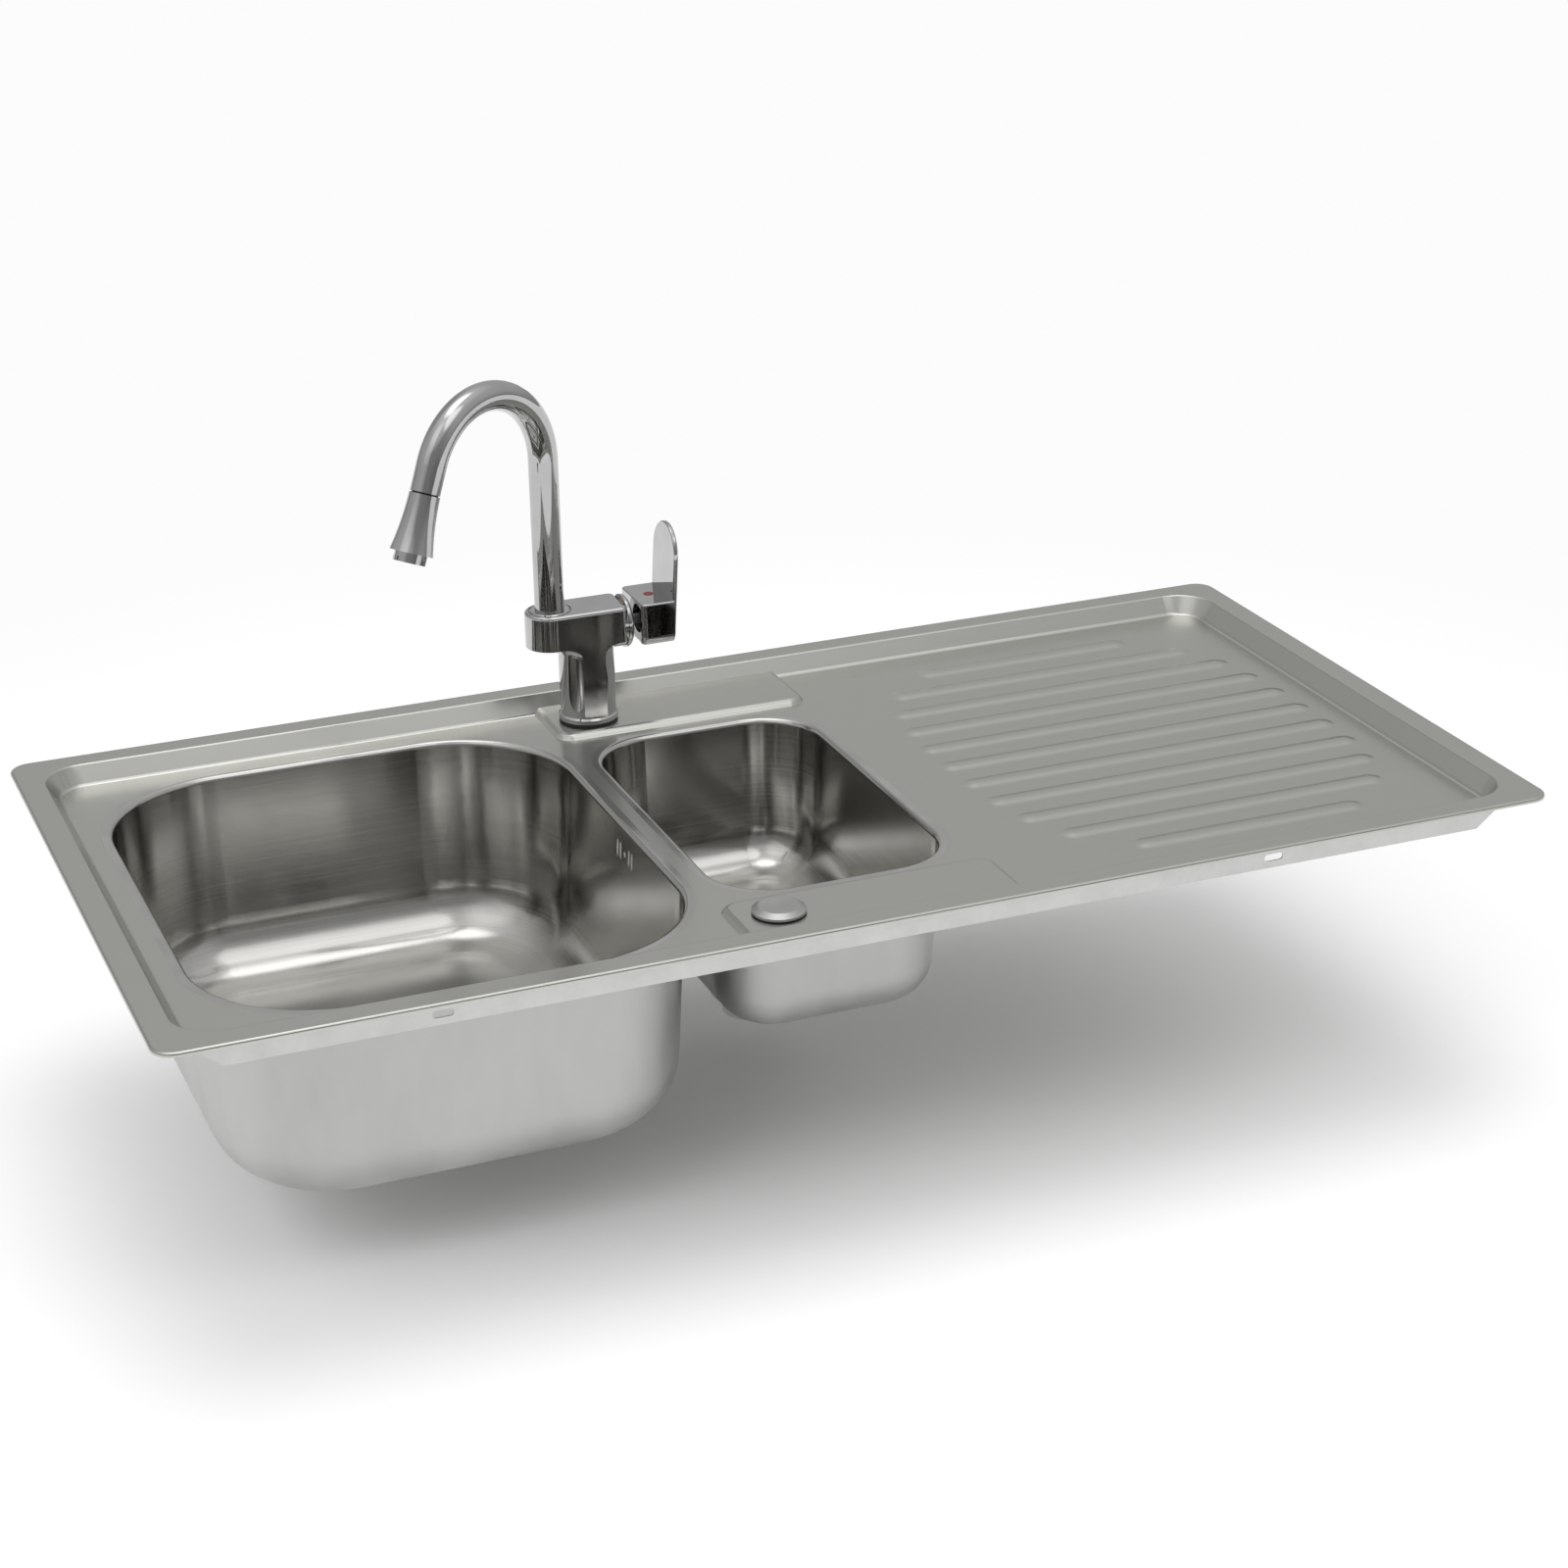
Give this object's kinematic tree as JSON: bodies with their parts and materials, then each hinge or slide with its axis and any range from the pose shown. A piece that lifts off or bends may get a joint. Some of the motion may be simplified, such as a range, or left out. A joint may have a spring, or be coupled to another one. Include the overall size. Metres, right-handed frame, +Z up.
{
  "type": "inset kitchen sink with tap",
  "caption": "Inset stainless steel kitchen sink with a main bowl, a half bowl, a ribbed drainer, basket strainers and a swan-neck mixer tap with a side lever.",
  "frame": {"origin": "middle of the rim on the worktop plane, which is the underside of the rim's seal and turned-down lip", "axes": "+X along the sink towards the drainer, +Y to the rear where the tap stands, +Z up"},
  "size_m": [0.98, 0.5, 0.495],
  "materials": {
    "deck_steel": "satin linen-brushed stainless sheet",
    "bowl_steel": "brushed drawn stainless sheet with a polished lip",
    "rail_steel": "plain zinc-bright steel",
    "foam_seal": "matt closed-cell foam strip",
    "black_rubber": "matt moulded rubber",
    "strainer_steel": "polished stainless",
    "white_plastic": "plain moulded plastic",
    "black_plastic": "plain moulded plastic",
    "chrome": "polished chrome plate",
    "brass": "turned brass",
    "grey_plastic": "moulded grey plastic",
    "red_plastic": "dull red plastic"
  },
  "bodies": {
    "sink": {"cartridge_body": "black_plastic", "cartridge_nut": "brass", "cartridge_seal": "black_rubber", "cover_bar": "rail_steel", "cover_bolt": "rail_steel", "cover_seal": "black_rubber", "cover_wing_nut": "rail_steel", "deck": "deck_steel", "dome_cap": "chrome", "front_clip_rail": "rail_steel", "half_bowl": "bowl_steel", "half_clamp_screw": "rail_steel", "half_flange_gasket": "black_rubber", "half_lower_gasket": "black_rubber", "half_strainer_cup": "strainer_steel", "half_waste_body": "white_plastic", "left_clip_rail": "rail_steel", "main_bowl": "bowl_steel", "main_clamp_screw": "rail_steel", "main_flange_gasket": "black_rubber", "main_lower_gasket": "black_rubber", "main_strainer_cup": "strainer_steel", "main_waste_body": "white_plastic", "rear_clip_rail": "rail_steel", "right_clip_rail": "rail_steel", "rim_seal": "foam_seal", "shank_clamp_plate": "rail_steel", "shank_nut": "brass", "shank_washer": "black_rubber", "spout_collar": "chrome", "tap_base_gasket": "black_rubber", "tap_body": "chrome", "tap_hole_cover": "deck_steel", "tap_shank": "brass"},
    "spout": {"spout_tube": "chrome", "spout_foot": "white_plastic", "spout_rings": "black_rubber", "spout_head": "chrome", "aerator": "chrome", "jet_plate": "grey_plastic"},
    "turret": {"cartridge_turret": "black_plastic", "pivot_pin": "rail_steel"},
    "lever": {"lever_stem": "rail_steel", "lever": "chrome", "lever_grub_screw": "rail_steel", "lever_indicator": "red_plastic"},
    "main_basket": {"main_strainer_basket": "strainer_steel", "main_basket_plug": "black_rubber", "main_basket_knob": "chrome"},
    "half_basket": {"half_strainer_basket": "strainer_steel", "half_basket_plug": "black_rubber", "half_basket_knob": "chrome"}
  },
  "joints": [
    {"name": "spout_swivel", "type": "hinge", "parent": "sink", "child": "spout", "pos_m": [-0.0935, 0.191, 0.07], "axis": [0, 0, 1], "range_deg": [-30, 90]},
    {"name": "lever_turn", "type": "hinge", "parent": "sink", "child": "turret", "pos_m": [-0.0425, 0.191, 0.0665], "axis": [1, 0, 0], "range_deg": [-45, 45]},
    {"name": "lever_lift", "type": "hinge", "parent": "turret", "child": "lever", "pos_m": [-0.0425, 0.191, 0.0665], "axis": [0, 1, 0], "range_deg": [0, 16]},
    {"name": "main_basket_lift", "type": "slide", "parent": "sink", "child": "main_basket", "axis": [0, 0, 1], "range_m": [0, 0.045]},
    {"name": "half_basket_lift", "type": "slide", "parent": "sink", "child": "half_basket", "axis": [0, 0, 1], "range_m": [0, 0.045]}
  ]
}
